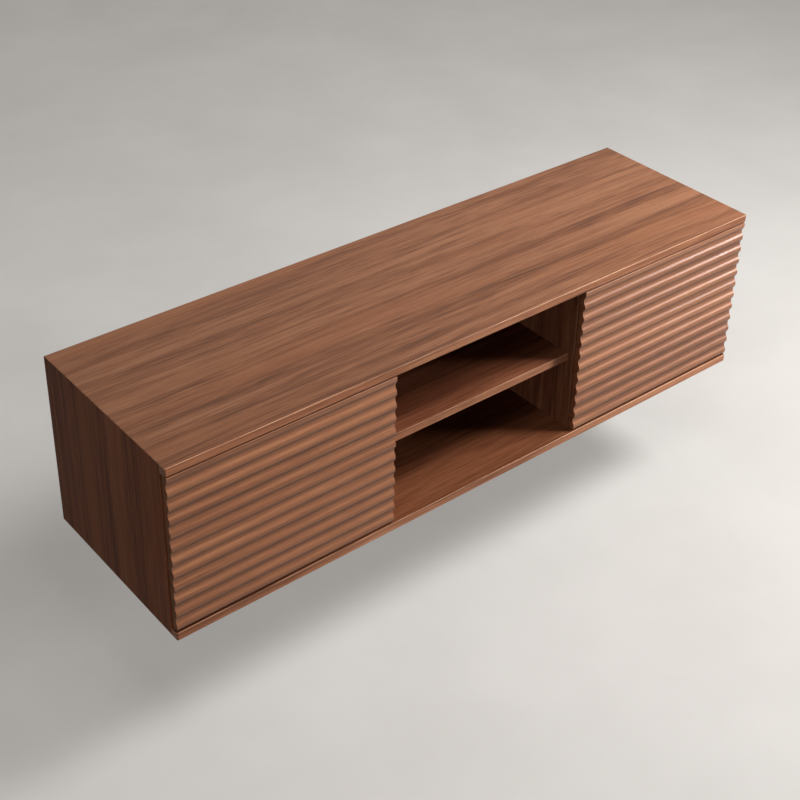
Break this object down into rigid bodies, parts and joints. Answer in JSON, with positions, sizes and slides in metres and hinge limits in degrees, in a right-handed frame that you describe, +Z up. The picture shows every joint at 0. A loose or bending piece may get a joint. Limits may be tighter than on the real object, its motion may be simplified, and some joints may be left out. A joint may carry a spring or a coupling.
{
  "type": "floating media console",
  "caption": "Long wall-hung walnut media console: wave-fronted swing doors on either side of an open middle bay with a shelf.",
  "frame": {"origin": "on the wall plane, on the back face of the wall rail, half way along the console", "axes": "+X along the width to the right of someone facing the console, +Y into the wall, +Z up"},
  "size_m": [1.5, 0.43, 0.39],
  "materials": {
    "walnut_panel": "satin walnut veneer, grain along the width",
    "walnut_upright": "satin walnut veneer, upright grain",
    "walnut_shelf": "satin walnut veneer, grain along the width",
    "walnut_door": "satin walnut over a milled wave, grain along the width",
    "back_board": "dark brown printed hardboard",
    "stretcher_board": "walnut veneered board",
    "nickel": "nickel plated pressed steel",
    "rail_metal": "mill-finish extrusion",
    "beech": "plain turned beech",
    "grey_plastic": "moulded, fine texture",
    "white_plastic": "moulded, smooth",
    "bumper_rubber": "milky soft polyurethane"
  },
  "bodies": {
    "case": {"top_panel": "walnut_panel", "bottom_panel": "walnut_panel", "left_side_panel": "walnut_upright", "right_side_panel": "walnut_upright", "left_divider": "walnut_upright", "right_divider": "walnut_upright", "center_shelf": "walnut_shelf", "left_shelf": "walnut_shelf", "right_shelf": "walnut_shelf", "left_back_sheet": "back_board", "center_back_sheet": "back_board", "right_back_sheet": "back_board", "upper_stretcher": "stretcher_board", "lower_stretcher": "stretcher_board", "left_shelf_dowel_1": "beech", "left_shelf_dowel_2": "beech", "right_shelf_dowel_1": "beech", "right_shelf_dowel_2": "beech", "left_shelf_pin_1": "nickel", "left_shelf_pin_2": "nickel", "left_shelf_pin_3": "nickel", "left_shelf_pin_4": "nickel", "right_shelf_pin_1": "nickel", "right_shelf_pin_2": "nickel", "right_shelf_pin_3": "nickel", "right_shelf_pin_4": "nickel", "wall_rail": "rail_metal", "case_rail": "rail_metal", "left_upper_hinge_arm": "nickel", "left_upper_hinge_plate": "nickel", "left_lower_hinge_arm": "nickel", "left_lower_hinge_plate": "nickel", "right_upper_hinge_arm": "nickel", "right_upper_hinge_plate": "nickel", "right_lower_hinge_arm": "nickel", "right_lower_hinge_plate": "nickel", "left_latch_housing": "grey_plastic", "right_latch_housing": "grey_plastic"},
    "left_door_body": {"left_door": "walnut_door", "left_upper_hinge_cup": "nickel", "left_upper_hinge_pin": "nickel", "left_lower_hinge_cup": "nickel", "left_lower_hinge_pin": "nickel", "left_strike_plate": "nickel", "left_upper_bumper": "bumper_rubber", "left_lower_bumper": "bumper_rubber"},
    "right_door_body": {"right_door": "walnut_door", "right_upper_hinge_cup": "nickel", "right_upper_hinge_pin": "nickel", "right_lower_hinge_cup": "nickel", "right_lower_hinge_pin": "nickel", "right_strike_plate": "nickel", "right_upper_bumper": "bumper_rubber", "right_lower_bumper": "bumper_rubber"},
    "left_plunger_body": {"left_latch_plunger": "white_plastic"},
    "right_plunger_body": {"right_latch_plunger": "white_plastic"}
  },
  "joints": [
    {"name": "left_door_hinge", "type": "hinge", "parent": "case", "child": "left_door_body", "pos_m": [-0.7418, -0.4195, -0.11], "axis": [0, 0, -1], "range_deg": [0, 95]},
    {"name": "right_door_hinge", "type": "hinge", "parent": "case", "child": "right_door_body", "pos_m": [0.7418, -0.4195, -0.11], "axis": [0, 0, 1], "range_deg": [0, 95]},
    {"name": "left_plunger_slide", "type": "slide", "parent": "case", "child": "left_plunger_body", "axis": [0, -1, 0], "range_m": [0, 0.014]},
    {"name": "right_plunger_slide", "type": "slide", "parent": "case", "child": "right_plunger_body", "axis": [0, -1, 0], "range_m": [0, 0.014]}
  ],
  "couplings": [
    {"joint": "left_plunger_slide", "follows": "left_door_hinge", "m_per_rad": 0.0084},
    {"joint": "right_plunger_slide", "follows": "right_door_hinge", "m_per_rad": 0.0084}
  ]
}
